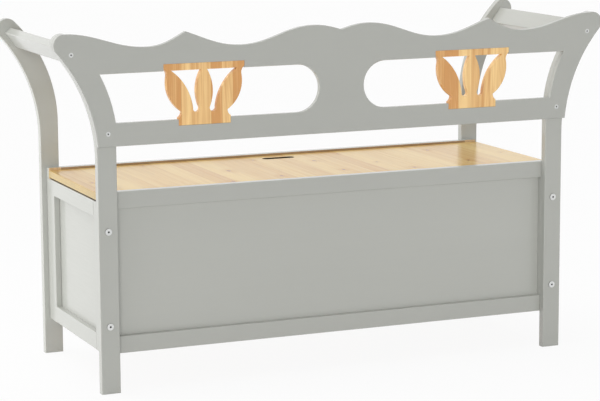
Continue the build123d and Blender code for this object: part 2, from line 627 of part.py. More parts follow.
def make_lid():
    """The lid panel with its finger slot, its battens, bumpers and hinges."""
    half = end_outer + LID_OVERHANG
    lid = block((-half, half), (lid_front, lid_rear), (lid_bottom, lid_top))
    lid = fillet(lid.edges(), LID_EDGE)
    slot = SlotOverall(FINGER_LENGTH, FINGER_WIDTH)
    cutter = extrude(Pos(0, lid_front + FINGER_INSET, lid_bottom) * slot, amount=LID_THICKNESS)
    lid -= cutter
    middle = (lid_front + lid_rear) / 2
    batten_z = (lid_bottom - BATTEN_THICKNESS, lid_bottom)
    small = (SMALL_HEAD_DIAMETER, SMALL_SCREW_DIAMETER, SMALL_SCREW_LENGTH)
    batten_screws = []
    for name, step in zip(("front", "rear"), spread(2, BATTEN_SPACING)):
        y = middle + step
        batten = block((-BATTEN_LENGTH / 2, BATTEN_LENGTH / 2), (y - BATTEN_WIDTH / 2, y + BATTEN_WIDTH / 2), batten_z)
        batten = eased(batten, Axis.X)
        for x in spread(BATTEN_SCREW_COUNT, BATTEN_LENGTH - 2 * SCREW_MARGIN):
            seat = ((x, y, batten_z[0]), (0, 0, 1), *small)
            batten_screws.append(screw(*seat, SMALL_SOCKET))
            hole = countersunk(*seat, FIT)
            batten -= hole
            lid -= hole
        pieces[name + "_batten"] = batten
    pieces["batten_screws"] = group(batten_screws)
    bumper_top = END_TOP + BUMPER_HEIGHT
    bumper = Cylinder(BUMPER_DIAMETER / 2, BUMPER_HEIGHT, align=(Align.CENTER, Align.CENTER, Align.MAX))
    bumper = fillet(bumper.edges().group_by(Axis.Z)[-1], BUMPER_HEIGHT / 3)
    bumpers = [Pos(sign * post_centre, middle_y + step, bumper_top) * bumper
               for sign in sides.values() for step in spread(2, BUMPER_SPACING)]
    pieces["lid_bumpers"] = group(bumpers)
    frame_screws, lid_screws = [], []
    for name, sign in sides.items():
        screws, holes = hinge(name, sign * HINGE_SPACING / 2)
        frame_screws += screws["frame"]
        lid_screws += screws["lid"]
        for hole in holes["frame"]:
            pieces["back_top_rail"] -= hole
        for hole in holes["lid"]:
            lid -= hole
    pieces["lid_panel"] = lid
    pieces["hinge_frame_screws"] = group(frame_screws)
    pieces["hinge_lid_screws"] = group(lid_screws)


def make_bench():
    """Every piece of the bench, in the order in which it goes together."""
    bolts, nuts, holes = bolt_set()
    make_posts(holes)
    make_box(holes)
    make_floor()
    make_armrests()
    make_backrest()
    make_lid()
    pieces["post_bolts"] = group(bolts)
    pieces["barrel_nuts"] = group(nuts)


make_bench()
os.makedirs("parts", exist_ok=True)
for node, shape in pieces.items():
    export_step(shape, f"parts/{node}.step")
print(len(pieces), "nodes")
print("hinge axis at Y", round(hinge_y, 3), "Z", round(hinge_z, 3))
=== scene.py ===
"""Finishes for a painted pine storage bench with a natural pine lid, and the studio that it stands in.

Metres. +Z is up, the front faces -Y, and +X is on the right seen from the front.
Every pattern reads Object coordinates, so it lies where the board lies.
"""

import math

import bpy
import numpy as np
from bpy.props import FloatProperty, FloatVectorProperty, PointerProperty
from mathutils import Matrix, Vector


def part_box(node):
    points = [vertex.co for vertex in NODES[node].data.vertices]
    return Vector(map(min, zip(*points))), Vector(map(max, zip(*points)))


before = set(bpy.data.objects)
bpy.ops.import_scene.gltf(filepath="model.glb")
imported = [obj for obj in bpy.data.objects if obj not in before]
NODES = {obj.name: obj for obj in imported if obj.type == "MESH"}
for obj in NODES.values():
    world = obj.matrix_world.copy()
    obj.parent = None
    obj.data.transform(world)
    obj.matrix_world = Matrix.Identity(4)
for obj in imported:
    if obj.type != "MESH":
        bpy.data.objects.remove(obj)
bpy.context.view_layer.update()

bl_info = {
    "name": "Storage bench",
    "version": (1, 0, 0),
    "blender": (4, 5, 0),
    "location": "3D View > Sidebar > Bench",
    "description": "Paint, pine and hardware finishes for a storage bench, with its studio",
    "category": "Object",
}

# Pieces
SIDES = ("left", "right")
ROWS = ("front", "rear")
POSTS = [f"{row}_{side}_post" for row in ROWS for side in SIDES]
ARMRESTS = [f"{side}_armrest" for side in SIDES]
SPLATS = [f"{side}_splat" for side in SIDES]
BATTENS = [f"{row}_batten" for row in ROWS]
STILES = {"front": SIDES, "back": SIDES, "left_end": ROWS, "right_end": ROWS}
LONG_FRAMES = ("front", "back")
HEADS = ["post_bolts", "backrest_screws", "armrest_screws"]
STEEL = ["barrel_nuts", "splat_screws", "cleat_screws", "floor_screws", "batten_screws"]
HINGES = [f"{side}_hinge_{piece}" for side in SIDES for piece in ("frame_leaf", "lid_leaf", "pin")]
HINGE_SCREWS = ["hinge_frame_screws", "hinge_lid_screws"]

# Where the finish changes on a piece
SKIN = 0.0003           # how far behind its face a board's bare inner side begins
END_SKIN = 0.0009       # how far inside the lid's ends their sawn wood begins
SLOT_SKIN = 0.0004      # how far below the lid's faces the painted shade of the finger slot begins
SLOT_INSET = 0.044      # finger slot's centre line, from the lid's front edge
SLOT_HALF = 0.0115      # a little over half the slot's width
SLOT_REACH = 0.0405     # a little over half its length
HEAD_EDGE = 0.0009      # how far below its face the painted shade of a bolt or screw head begins
NO_ROW = 1.0            # puts a row of heads that isn't there far from the bench

# Sockets of a mix node that hold its amount and its two colours, and the colour that it makes
MIX_INPUTS = (0, 6, 7)
MIX_OUTPUT = 2

# Spans that hold most of the values of a noise
USUAL = (0.3, 0.7)
BROAD = (0.25, 0.75)
WIDE = (0.2, 0.8)

# Paint. Pairs of scales are along the grain and across it.
PAINT_DRIFT = (1.2, 7.0)
PAINT_GRAIN = (5.0, 330.0)
PAINT_BRUSH = (14.0, 900.0)
DRIFT_SHARE = 0.75      # of the paint's change of tone, with the rest from the grain
BRUSH_SHARE = 0.35      # height of the brush marks, over that of the grain
PAINT_DULL = (-0.05, 0.06)      # how far the brush marks move the roughness
BOARD_PAINTED_SHADE = 0.955     # tone of the backrest board's paint, darkened as painted shade
# Painted light: the front and back panels' paint is lightened, standing in for more light low on the back
PANEL_PAINTED_LIGHT = {"front": 1.06, "back": 1.06, "left_end": 1.0, "right_end": 1.0}

# Bare wood
BARE_FIBRE = (6.0, 260.0)
BARE_DRIFT = (2.0, 22.0)
BARE_TONES = (0.72, 1.06)
BARE_DULL = (0.62, 0.8)
BARE_RELIEF = 0.00015
INNER_TONES = (0.75, 1.15)      # streaks on the frames' bare inner sides

# Pine staves. Pairs of scales are across the grain and along it.
LID_CUT = {"start": 69.2, "knots": 9.0, "spread": 0.7, "lines": 0.25}
SPLAT_CUT = {"start": 158.8, "knots": 4.0, "spread": 1.0, "lines": 0.3}
STAVE_CHANCE = 0.6      # how uneven the staves' widths are
LOG_WIDTH = 7.0         # how far apart two staves may lie in the pattern, across it and in depth
LOG_DEPTH = 3.0
STAVE_SPAN = (0.1, 0.95)        # span of the staves' chances that their tones use
KNOT_STRETCH = 0.62     # spacing of the knots across the grain, over that along it
KNOT_FREE = 0.35        # share of the places that have no knot
KNOT_SIZE = (0.0022, 0.0058)
KNOT_CORE = (0.6, 1.2)          # soft edge of a knot, over its size
KNOT_HALO = (0.8, 5.0)          # reach of the darker wood round it, over its size
KNOT_TONE = 0.85
HALO_TONE = 0.55
HALO_BEND = 1.6         # rings that a knot pushes the grain aside
WAVE_RUN = 0.12         # stretch of the slow waves along the grain
WAVE_SCALE = 9.0
WAVE_BEND = 26.0        # rings that the slow waves push the grain aside
HEART_SCALE = 5.0
HEART_TONES = (0.3, 1.0)        # where the ring lines are weak and where they are full
LATE_RISE = (0.3, 0.85)         # over one ring, late wood darkens slowly
LATE_FALL = (0.88, 1.0)         # and ends at once
FIBRE = (900.0, 12.0)
FIBRE_TONES = (0.96, 1.04)
STREAK = (95.0, 3.0)
SEAM = 0.02             # width of a glue line, over a stave's width
SEAM_TONE = 0.86
LACQUER_DULL = (-0.04, 0.06)    # how far the fibres move the roughness
RING_SHARE = 0.5        # of the relief under the lacquer, with the rest from the fibres
SAWN_TONES = (0.9, 1.06)
PINE_RELIEF = 0.00004
SLOT_SHADE_ROUGHNESS = 0.95             # roughness in the finger slot's painted shade, raised to dull its reflections

# Hardware
PLATE_MARKS = 2600.0
PLATE_PATCHES = 210.0
PLATE_TONES = (0.88, 1.04)
PLATE_DULL = (-0.06, 0.08)      # how far the patches move the roughness
PLATE_RELIEF = 0.00002
ZINC_ROUGHNESS = 0.34
BRASS_ROUGHNESS = 0.3
RUBBER_ROUGHNESS = 0.7
SOCKET_SHADE = 0.06              # tone of the painted shade in the heads' sockets and round their rims

# Stage. Each lamp's direction is seen from the bench.
SOFTNESS = math.radians(60)     # how wide the broad lamps look
BEAM = math.radians(25)         # how wide the rear lamp looks
REAR_FROM = (0.34, 0.92, 0.13)
SIDE_FROM = (0.98, 0.0, 0.12)
FRONT_FROM = (-0.5, -0.85, 0.15)
TOP_FROM = (0.25, -0.2, 0.95)
SOFTBOX_FROM = (1.0, 0.0, 0.0)
SOFTBOX_PLACE = (2.1, -0.8, 0.5)
SOFTBOX_SIZE = 1.4
FLOOR_RINGS = 12
FLOOR_TURNS = 48
FLOOR_INNER = 0.4
FLOOR_OUTER = 40.0
FLOOR_PATCHES = 3.0
FLOOR_TONES = (0.98, 1.02)
FLOOR_WHITE = 0.93      # share of plain white where the floor is seen, with the rest lit, for the shadow
WHITE = (1.0, 1.0, 1.0, 1.0)
SENSOR = 36.0           # millimetres
FAR = 100.0             # the camera's far limit


class PaintProperties(bpy.types.PropertyGroup):
    """Satin paint on the posts, backrest and box."""

    colour: FloatVectorProperty(name="Paint", description="Colour of the satin paint", subtype="COLOR",
                                size=3, min=0, max=1, default=(0.405, 0.411, 0.380))
    spread: FloatProperty(name="Tone spread", description="How much the paint's tone drifts along a board",
                          subtype="FACTOR", min=0, max=1, default=0.05)
    grain_depth: FloatProperty(name="Grain depth", description="Depth of the wood grain under the paint",
                               unit="LENGTH", default=0.000015)
    roughness: FloatProperty(name="Roughness", description="Roughness of the satin paint",
                             subtype="FACTOR", min=0, max=1, default=0.38)
    coat: FloatProperty(name="Clear coat", description="Strength of the clear coat over the paint",
                        subtype="FACTOR", min=0, max=1, default=0.8)
    coat_roughness: FloatProperty(name="Coat roughness", description="Roughness of the clear coat",
                                  subtype="FACTOR", min=0, max=1, default=0.12)


class PineProperties(bpy.types.PropertyGroup):
    """Lacquered pine of the lid and the splats, and the bare wood inside."""

    early: FloatVectorProperty(name="Early wood", description="Pale wood between the year rings",
                               subtype="COLOR", size=3, min=0, max=1, default=(0.90, 0.62, 0.28))
    late: FloatVectorProperty(name="Late wood", description="Darker wood of the year rings",
                              subtype="COLOR", size=3, min=0, max=1, default=(0.64, 0.32, 0.11))
    lid_early: FloatVectorProperty(name="Lid early wood", description="Pale wood of the lid",
                                   subtype="COLOR", size=3, min=0, max=1, default=(0.66, 0.455, 0.145))
    lid_late: FloatVectorProperty(name="Lid late wood", description="Darker wood of the lid",
                                  subtype="COLOR", size=3, min=0, max=1, default=(0.51, 0.275, 0.055))
    knot: FloatVectorProperty(name="Knots", description="Colour of the knots",
                              subtype="COLOR", size=3, min=0, max=1, default=(0.24, 0.09, 0.02))
    # Near-black painted shade inside the finger slot
    slot_shade: FloatVectorProperty(name="Slot shade", description="Near-black painted shade in the finger slot",
                              subtype="COLOR", size=3, min=0, max=1, default=(0.012, 0.008, 0.005))
    edge: FloatVectorProperty(name="Lid ends", description="Pale sawn ends of the lid",
                              subtype="COLOR", size=3, min=0, max=1, default=(0.46, 0.335, 0.14))
    bare: FloatVectorProperty(name="Bare wood", description="Unpainted wood inside the box",
                              subtype="COLOR", size=3, min=0, max=1, default=(0.66, 0.47, 0.27))
    # Bare wood darkened as painted shade, for the front rails' inner faces in the narrow gap above the lid
    bare_in_shade: FloatVectorProperty(name="Bare wood in shade", description="Front rails' inner faces, darkened as painted shade",
                                subtype="COLOR", size=3, min=0, max=1, default=(0.38, 0.24, 0.125))
    lid_stave: FloatProperty(name="Lid stave", description="Usual width of the lid's glued staves",
                             unit="LENGTH", default=0.045)
    splat_stave: FloatProperty(name="Splat stave", description="Usual width of a splat's glued staves",
                               unit="LENGTH", default=0.028)
    ring: FloatProperty(name="Ring spacing", description="Usual spacing of the year rings",
                        unit="LENGTH", default=0.004)
    roughness: FloatProperty(name="Roughness", description="Roughness of the clear lacquer",
                             subtype="FACTOR", min=0, max=1, default=0.2)


class HardwareProperties(bpy.types.PropertyGroup):
    """Bolts, screws, hinges and bumpers."""

    zinc: FloatVectorProperty(name="Zinc", description="Bright zinc of the bolts and screws",
                              subtype="COLOR", size=3, min=0, max=1, default=(0.74, 0.75, 0.74))
    dull: FloatVectorProperty(name="Dull zinc", description="Dulled zinc of the backrest and armrest screws",
                              subtype="COLOR", size=3, min=0, max=1, default=(0.68, 0.69, 0.68))
    brass: FloatVectorProperty(name="Brass plate", description="Plating of the hinges",
                               subtype="COLOR", size=3, min=0, max=1, default=(0.72, 0.53, 0.24))
    rubber: FloatVectorProperty(name="Rubber", description="Colour of the lid bumpers",
                                subtype="COLOR", size=3, min=0, max=1, default=(0.03, 0.03, 0.03))


class StageProperties(bpy.types.PropertyGroup):
    """Floor, light and camera."""

    floor: FloatVectorProperty(name="Floor", description="Colour of the floor in the light that it returns",
                               subtype="COLOR", size=3, min=0, max=1, default=(0.66, 0.66, 0.66))
    key: FloatProperty(name="Key", description="Power of the softbox off the right end", unit="POWER",
                       default=25)
    rear: FloatProperty(name="Rear light", description="Strength of the low soft light behind the bench",
                        default=1.71)
    side: FloatProperty(name="Side light", description="Strength of the low soft light off the right end",
                        default=0.66)
    front: FloatProperty(name="Front light", description="Strength of the soft light at the front left",
                         default=0.7)
    top: FloatProperty(name="Top light", description="Strength of the soft light high over the bench",
                       default=2.1)
    fill: FloatProperty(name="Fill", description="Strength of the white room all round", default=0.27)
    camera: FloatVectorProperty(name="Camera", description="Place of the camera", subtype="XYZ",
                                unit="LENGTH", size=3, default=(1.9514, 4.5746, 1.1882))
    yaw: FloatProperty(name="Yaw", description="Turn of the view from -Y towards -X", subtype="ANGLE",
                       default=math.radians(23.051))
    pitch: FloatProperty(name="Pitch", description="Tilt of the view below level", subtype="ANGLE",
                         default=math.radians(9.607))
    roll: FloatProperty(name="Roll", description="Turn of the picture", subtype="ANGLE",
                        default=math.radians(-0.309))
    lens: FloatProperty(name="Lens", description="Focal length of the camera", unit="CAMERA",
                        default=133.0)


class Finish:
    """A material built as a small node recipe. Each method adds a node and returns one of its sockets."""

    def __init__(self, name):
        self.material = bpy.data.materials.new(name)
        self.material.use_nodes = True
        self.tree = self.material.node_tree
        self.tree.nodes.clear()
        self.place = self.node("ShaderNodeTexCoord").outputs["Object"]

    def node(self, kind, inputs=None, **settings):
        made = self.tree.nodes.new(kind)
        for key, value in settings.items():
            setattr(made, key, value)
        for key, value in (inputs or {}).items():
            if isinstance(value, bpy.types.NodeSocket):
                self.tree.links.new(value, made.inputs[key])
            else:
                made.inputs[key].default_value = value
        return made

    def maths(self, operation, first, second=0.0):
        return self.node("ShaderNodeMath", {0: first, 1: second}, operation=operation).outputs[0]

    def times(self, first, second):
        return self.maths("MULTIPLY", first, second)

    def plus(self, first, second):
        return self.maths("ADD", first, second)

    def split(self, vector):
        return self.node("ShaderNodeSeparateXYZ", {0: vector}).outputs

    def part(self, axis):
        """The place along one axis."""
        return self.split(self.place)["XYZ".index(axis)]

    def join(self, x, y, z):
        return self.node("ShaderNodeCombineXYZ", {0: x, 1: y, 2: z}).outputs[0]

    def noise(self, vector, scale=1.0, detail=3.0, roughness=0.5):
        inputs = {"Vector": vector, "Scale": scale, "Detail": detail, "Roughness": roughness}
        return self.node("ShaderNodeTexNoise", inputs).outputs["Fac"]

    def grained(self, axis, scales, **settings):
        """Noise that is drawn out along one axis, with its scales along that axis and across it."""
        length, across = scales
        stretch = tuple(length if name == axis else across for name in "XYZ")
        place = self.node("ShaderNodeMapping", {"Vector": self.place, "Scale": stretch}).outputs[0]
        return self.noise(place, **settings)

    def cells(self, inputs, dimensions, feature="F1"):
        """A pattern of cells, each with a colour that stands for its chances."""
        return self.node("ShaderNodeTexVoronoi", inputs, voronoi_dimensions=dimensions, feature=feature)

    def ramp(self, value, span, low_to=0.0, high_to=1.0, kind="SMOOTHSTEP"):
        """Takes a span of values to two others, with a soft start and end."""
        inputs = {"Value": value, "From Min": span[0], "From Max": span[1],
                  "To Min": low_to, "To Max": high_to}
        return self.node("ShaderNodeMapRange", inputs, interpolation_type=kind).outputs[0]

    def fade(self, value, span, tones):
        """Takes a span of values to two others in a straight line."""
        return self.ramp(value, span, *tones, kind="LINEAR")

    def mix(self, amount, first, second, blend="MIX"):
        made = self.tree.nodes.new("ShaderNodeMix")
        made.data_type = "RGBA"
        made.blend_type = blend
        for index, value in zip(MIX_INPUTS, (amount, first, second)):
            if isinstance(value, bpy.types.NodeSocket):
                self.tree.links.new(value, made.inputs[index])
            else:
                made.inputs[index].default_value = value
        return made.outputs[MIX_OUTPUT]

    def shaded(self, colour, factor):
        """The colour times a factor."""
        grey = self.join(factor, factor, factor)
        return self.mix(1.0, colour, grey, "MULTIPLY")

    def between(self, value, start, stop):
        """One where a value lies between two limits."""
        return self.times(self.maths("GREATER_THAN", value, start), self.maths("LESS_THAN", value, stop))

    def within(self, low, high):
        """One inside a box, by its low and high corners."""
        total = 1.0
        for value, start, stop in zip(self.split(self.place), low, high):
            total = self.times(total, self.between(value, start, stop))
        return total

    def surface(self, colour, roughness, height, depth, **sockets):
        """Closes the recipe with a principled surface and a bump of a real depth."""
        shader = self.node("ShaderNodeBsdfPrincipled", {"Base Color": colour, "Roughness": roughness})
        for key, value in sockets.items():
            shader.inputs[key.replace("_", " ")].default_value = value
        bump = self.node("ShaderNodeBump", {"Height": height, "Distance": depth})
        self.tree.links.new(bump.outputs[0], shader.inputs["Normal"])
        return self.close(shader)

    def close(self, shader):
        self.node("ShaderNodeOutputMaterial", {0: shader.outputs[0]})
        return self.material


def rgba(colour):
    """A colour with full alpha."""
    return (*colour, 1.0)


def moved(middle, steps):
    """A middle value moved by each of two steps."""
    return tuple(middle + step for step in steps)


def dress(names, material):
    """Gives CAD nodes a material."""
    for name in names:
        mesh = NODES[name].data
        mesh.materials.clear()
        mesh.materials.append(material)


def paint(name, axis, bare=None, shade=1.0):
    """Satin paint over pine with its grain along one axis.

    The tone drifts slowly, fine grain lines show through as shallow ridges, and brush marks follow the board.
    shade lightens or darkens a board's paint as painted light or shade. bare = (axis, side, limit, colour)
    leaves the face past a limit bare.
    """
    look = bpy.context.scene.bench_paint
    finish = Finish(name)
    drift = finish.grained(axis, PAINT_DRIFT, detail=2.0)
    grain = finish.grained(axis, PAINT_GRAIN, detail=4.0, roughness=0.6)
    brush = finish.grained(axis, PAINT_BRUSH, detail=2.0)
    tone = finish.plus(finish.times(drift, DRIFT_SHARE), finish.times(grain, 1.0 - DRIFT_SHARE))
    half = shade * look.spread / 2
    colour = finish.shaded(rgba(look.colour), finish.fade(tone, BROAD, (shade - half, shade + half)))
    if bare:
        bare_axis, side, limit, wood = bare
        inside = finish.maths("GREATER_THAN" if side > 0 else "LESS_THAN", finish.part(bare_axis), limit)
        streaks = finish.fade(grain, USUAL, INNER_TONES)
        colour = finish.mix(inside, colour, finish.shaded(rgba(wood), streaks))
    roughness = finish.fade(brush, USUAL, moved(look.roughness, PAINT_DULL))
    height = finish.plus(grain, finish.times(brush, BRUSH_SHARE))
    return finish.surface(colour, roughness, height, look.grain_depth,
                          Coat_Weight=look.coat, Coat_Roughness=look.coat_roughness)


def pine(name, grain_axis, stave, early, late_wood, start, knots, spread, lines, shade_box=None, ends=None):
    """Glued pine staves side by side along X, with the grain along another axis.

    Staves are cells of a one-dimensional pattern, which begins at start. Each has its own tone, set by the
    spread, and its own cut of year rings: stretched noise folded into narrow late-wood lines of a given
    strength. Knots are a sparse set of points, so many to a metre, with rings that the grain bends round.
    Past the ends the wood is sawn and paler. Inside the shade_box, given by its low and high corners, the
    wood of the finger slot is painted near black as shade.
    """
    look = bpy.context.scene.bench_pine
    finish = Finish(name)
    width = finish.part("X")
    run = finish.part(grain_axis)
    row = finish.plus(finish.maths("DIVIDE", width, stave), start)
    stave_cells = {"W": row, "Scale": 1.0, "Randomness": STAVE_CHANCE}
    chance = finish.split(finish.cells(stave_cells, "1D").outputs["Color"])
    joint = finish.cells(stave_cells, "1D", "DISTANCE_TO_EDGE").outputs["Distance"]
    own_width = finish.plus(width, finish.times(chance[0], LOG_WIDTH))
    own_depth = finish.times(chance[1], LOG_DEPTH)

    knot_place = finish.join(width, finish.times(run, KNOT_STRETCH), 0.0)
    knot = finish.cells({"Vector": knot_place, "Scale": knots, "Randomness": 1.0}, "2D")
    knot_chance = finish.split(knot.outputs["Color"])
    distance = finish.maths("DIVIDE", knot.outputs["Distance"], knots)
    allowed = finish.maths("GREATER_THAN", knot_chance[0], KNOT_FREE)
    reach = finish.maths("DIVIDE", distance, finish.fade(knot_chance[1], (0.0, 1.0), KNOT_SIZE))
    core = finish.times(finish.ramp(reach, KNOT_CORE, 1.0, 0.0), allowed)
    halo = finish.times(finish.ramp(reach, KNOT_HALO, 1.0, 0.0), allowed)

    wave_place = finish.join(own_width, finish.times(run, WAVE_RUN), own_depth)
    wave = finish.noise(wave_place, WAVE_SCALE, detail=2.0, roughness=0.45)
    heart = finish.ramp(finish.noise(wave_place, HEART_SCALE, detail=1.0), USUAL, *HEART_TONES)
    rings = finish.plus(finish.maths("DIVIDE", width, look.ring), finish.times(wave, WAVE_BEND))
    saw = finish.maths("FRACT", finish.plus(rings, finish.times(halo, HALO_BEND)))
    late = finish.maths("SUBTRACT", finish.ramp(saw, LATE_RISE), finish.ramp(saw, LATE_FALL))
    fibre_place = finish.join(finish.times(own_width, FIBRE[0]), finish.times(run, FIBRE[1]), own_depth)
    fibre = finish.noise(fibre_place, roughness=0.6)
    streak_place = finish.join(finish.times(own_width, STREAK[0]), finish.times(run, STREAK[1]), own_depth)
    streak = finish.noise(streak_place, roughness=0.55)

    amount = finish.fade(chance[2], STAVE_SPAN, (0.0, spread))
    amount = finish.plus(amount, finish.fade(streak, USUAL, (-spread / 2, spread / 2)))
    amount = finish.plus(amount, finish.times(finish.times(late, heart), lines))
    amount = finish.plus(amount, finish.times(halo, HALO_TONE))
    colour = finish.mix(finish.fade(amount, (0.0, 1.0), (0.0, 1.0)), rgba(early), rgba(late_wood))
    colour = finish.shaded(colour, finish.fade(fibre, BROAD, FIBRE_TONES))
    colour = finish.mix(finish.times(core, KNOT_TONE), colour, rgba(look.knot))
    seam = finish.ramp(joint, (0.0, SEAM), SEAM_TONE, 1.0)
    colour = finish.shaded(colour, seam)
    roughness = finish.fade(fibre, USUAL, moved(look.roughness, LACQUER_DULL))
    if ends:
        sawn = finish.maths("GREATER_THAN", finish.maths("ABSOLUTE", width), ends)
        sawn_colour = finish.shaded(rgba(look.edge), finish.fade(fibre, BROAD, SAWN_TONES))
        colour = finish.mix(sawn, colour, sawn_colour)
    # Painted shade: the finger slot is painted near black, with a high roughness that dulls its reflections
    if shade_box:
        in_slot_shade = finish.within(*shade_box)
        colour = finish.mix(in_slot_shade, colour, rgba(look.slot_shade))
        roughness = finish.maths("MAXIMUM", roughness, finish.times(in_slot_shade, SLOT_SHADE_ROUGHNESS))
    relief = finish.plus(finish.times(late, RING_SHARE), finish.times(fibre, 1.0 - RING_SHARE))
    height = finish.times(relief, seam)
    return finish.surface(colour, roughness, height, PINE_RELIEF)


def bare_wood(name, axis):
    """Unpainted sawn wood with its fibres along one axis."""
    look = bpy.context.scene.bench_pine
    finish = Finish(name)
    fibre = finish.grained(axis, BARE_FIBRE, detail=4.0, roughness=0.6)
    drift = finish.grained(axis, BARE_DRIFT, detail=2.0)
    colour = finish.mix(finish.ramp(drift, USUAL), rgba(look.early), rgba(look.late))
    colour = finish.shaded(colour, finish.fade(fibre, BROAD, BARE_TONES))
    roughness = finish.fade(fibre, WIDE, BARE_DULL)
    return finish.surface(colour, roughness, fibre, BARE_RELIEF)


def plated(name, colour, metallic, rough, faces=None):
    """A turned or stamped surface with faint tool marks and slightly dulled patches.

    faces = (low, high) are the outer faces of two rows of heads. Between them the sockets and the heads' rims
    are darkened as painted shade.
    """
    finish = Finish(name)
    marks = finish.noise(finish.place, PLATE_MARKS, detail=2.0)
    patches = finish.noise(finish.place, PLATE_PATCHES)
    shade = finish.shaded(rgba(colour), finish.fade(patches, USUAL, PLATE_TONES))
    roughness = finish.fade(patches, USUAL, moved(rough, PLATE_DULL))
    if faces:
        # Painted shade: the sockets and the rims of the heads are darkened
        inside = finish.between(finish.part("Y"), faces[0] + HEAD_EDGE, faces[1] - HEAD_EDGE)
        shade = finish.shaded(shade, finish.fade(inside, (0.0, 1.0), (1.0, SOCKET_SHADE)))
    return finish.surface(shade, roughness, marks, PLATE_RELIEF, Metallic=metallic)


class BENCH_OT_paint_posts(bpy.types.Operator):
    """Paints the posts and the armrests"""

    bl_idname = "bench.paint_posts"
    bl_label = "Posts and armrests"

    def execute(self, context):
        dress(POSTS, paint("post_paint", "Z"))
        dress(ARMRESTS, paint("armrest_paint", "Y"))
        return {"FINISHED"}


class BENCH_OT_paint_backrest(bpy.types.Operator):
    """Paints the backrest board"""

    bl_idname = "bench.paint_backrest"
    bl_label = "Backrest board"

    def execute(self, context):
        # The backrest board's paint is darkened as painted shade
        dress(["backrest_board"], paint("backrest_paint", "X", shade=BOARD_PAINTED_SHADE))
        return {"FINISHED"}


class BENCH_OT_paint_box(bpy.types.Operator):
    """Paints the four frames outside and leaves the inside of the box as bare wood, with painted shade on the
    front rails' inner faces
    """

    bl_idname = "bench.paint_box"
    bl_label = "Box frames and panels"

    def execute(self, context):
        front_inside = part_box("front_top_rail")[1].y
        back_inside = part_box("back_top_rail")[0].y
        left_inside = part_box("left_end_top_rail")[1].x
        right_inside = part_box("right_end_top_rail")[0].x
        inner = {"front": ("Y", 1, front_inside - SKIN), "back": ("Y", -1, back_inside + SKIN),
                 "left_end": ("X", 1, left_inside - SKIN), "right_end": ("X", -1, right_inside + SKIN)}
        wood = context.scene.bench_pine
        for name, face in inner.items():
            length = "X" if name in LONG_FRAMES else "Y"
            bare = (*face, wood.bare)
            # The front rails' bare inner faces take the darker bare wood, as painted shade
            rail_bare = (*face, wood.bare_in_shade) if name == "front" else bare
            dress([f"{name}_top_rail", f"{name}_bottom_rail"], paint(f"{name}_rail_paint", length, rail_bare))
            dress([f"{name}_{side}_stile" for side in STILES[name]], paint(f"{name}_stile_paint", "Z", bare))
            # The front and back panels' paint is lightened as painted light
            dress([f"{name}_panel"], paint(f"{name}_panel_paint", length, bare, PANEL_PAINTED_LIGHT[name]))
        return {"FINISHED"}


class BENCH_OT_finish_lid(bpy.types.Operator):
    """Gives the lid its lacquered pine staves"""

    bl_idname = "bench.finish_lid"
    bl_label = "Lid"

    def execute(self, context):
        look = context.scene.bench_pine
        low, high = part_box("lid_panel")
        slot_y = low.y + SLOT_INSET
        # The box of the finger slot, which gets painted shade
        slot = ((-SLOT_REACH, slot_y - SLOT_HALF, low.z + SLOT_SKIN),
                (SLOT_REACH, slot_y + SLOT_HALF, high.z - SLOT_SKIN))
        dress(["lid_panel"], pine("lid_pine", "Y", look.lid_stave, look.lid_early, look.lid_late, **LID_CUT,
                                  shade_box=slot, ends=high.x - END_SKIN))
        return {"FINISHED"}


class BENCH_OT_finish_splats(bpy.types.Operator):
    """Gives the splats their lacquered pine staves"""

    bl_idname = "bench.finish_splats"
    bl_label = "Splats"

    def execute(self, context):
        look = context.scene.bench_pine
        dress(SPLATS, pine("splat_pine", "Z", look.splat_stave, look.early, look.late, **SPLAT_CUT))
        return {"FINISHED"}


class BENCH_OT_finish_inside(bpy.types.Operator):
    """Leaves the floor, cleats, battens and dowels as bare wood"""

    bl_idname = "bench.finish_inside"
    bl_label = "Floor, cleats, battens and dowels"

    def execute(self, context):
        lengthways = bare_wood("lengthways_bare_wood", "X")
        crossways = bare_wood("crossways_bare_wood", "Y")
        dress(["floor_board", "front_cleat", "rear_cleat", "frame_dowels"] + BATTENS, lengthways)
        dress(["left_cleat", "right_cleat", "armrest_dowels"], crossways)
        return {"FINISHED"}


class BENCH_OT_fit_hardware(bpy.types.Operator):
    """Plates the bolts, screws and hinges and blackens the lid bumpers"""

    bl_idname = "bench.fit_hardware"
    bl_label = "Bolts, screws, hinges and bumpers"

    def execute(self, context):
        look = context.scene.bench_hardware
        dress(STEEL, plated("bright_zinc", look.zinc, 1.0, ZINC_ROUGHNESS))
        for name in HEADS:
            low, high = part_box(name)
            faces = {"post_bolts": (low.y, high.y), "backrest_screws": (low.y - NO_ROW, high.y),
                     "armrest_screws": (low.y, high.y + NO_ROW)}
            tone = look.zinc if name == "post_bolts" else look.dull
            dress([name], plated(f"{name}_zinc", tone, 1.0, ZINC_ROUGHNESS, faces[name]))
        dress(HINGES + HINGE_SCREWS, plated("brass_plate", look.brass, 1.0, BRASS_ROUGHNESS))
        dress(["lid_bumpers"], plated("bumper_rubber", look.rubber, 0.0, RUBBER_ROUGHNESS))
        return {"FINISHED"}


class BENCH_OT_set_stage(bpy.types.Operator):
    """Sets the floor, the light and the camera"""

    bl_idname = "bench.set_stage"
    bl_label = "Stage"

    def execute(self, context):
        look = context.scene.bench_stage
        build_floor(look)
        build_room(context.scene, look)
        build_softbox(look.key)
        build_lamp("rear_light", look.rear, REAR_FROM, BEAM)
        build_lamp("side_light", look.side, SIDE_FROM, SOFTNESS)
        build_lamp("front_light", look.front, FRONT_FROM, SOFTNESS)
        build_lamp("top_light", look.top, TOP_FROM, SOFTNESS)
        build_camera(context.scene, look)
        context.scene.view_settings.view_transform = "Standard"
        return {"FINISHED"}


